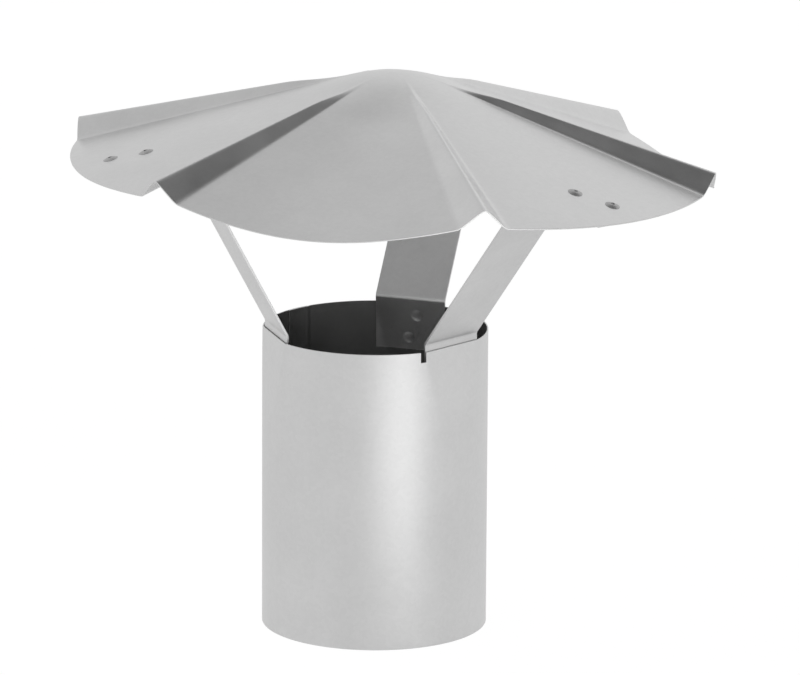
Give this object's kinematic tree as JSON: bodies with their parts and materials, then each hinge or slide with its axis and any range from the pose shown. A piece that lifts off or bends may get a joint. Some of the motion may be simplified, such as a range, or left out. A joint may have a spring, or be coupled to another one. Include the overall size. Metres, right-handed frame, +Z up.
{
  "type": "duct rain cap",
  "caption": "Ribbed sheet-metal rain cap carried above a round spigot collar on bent flat straps.",
  "frame": {"origin": "on the collar's axis, in the plane of its lower end", "axes": "+Z up along the collar's axis towards the cap; the picture is taken from the -Y side, so +X is to its right"},
  "size_m": [0.2823, 0.2823, 0.2499],
  "materials": {
    "cap_sheet": "hot-dip galvanised, satin",
    "collar_sheet": "hot-dip galvanised, satin",
    "strap_sheet": "hot-dip galvanised, satin",
    "rivet_steel": "dull zinc plate",
    "mandrel_steel": "plain steel, darkened"
  },
  "bodies": {
    "root": {"cap": "cap_sheet", "collar": "collar_sheet", "strap_left": "strap_sheet", "strap_back": "strap_sheet", "strap_right": "strap_sheet", "cap_rivets": "rivet_steel", "rivet_mandrels": "mandrel_steel"}
  },
  "joints": []
}
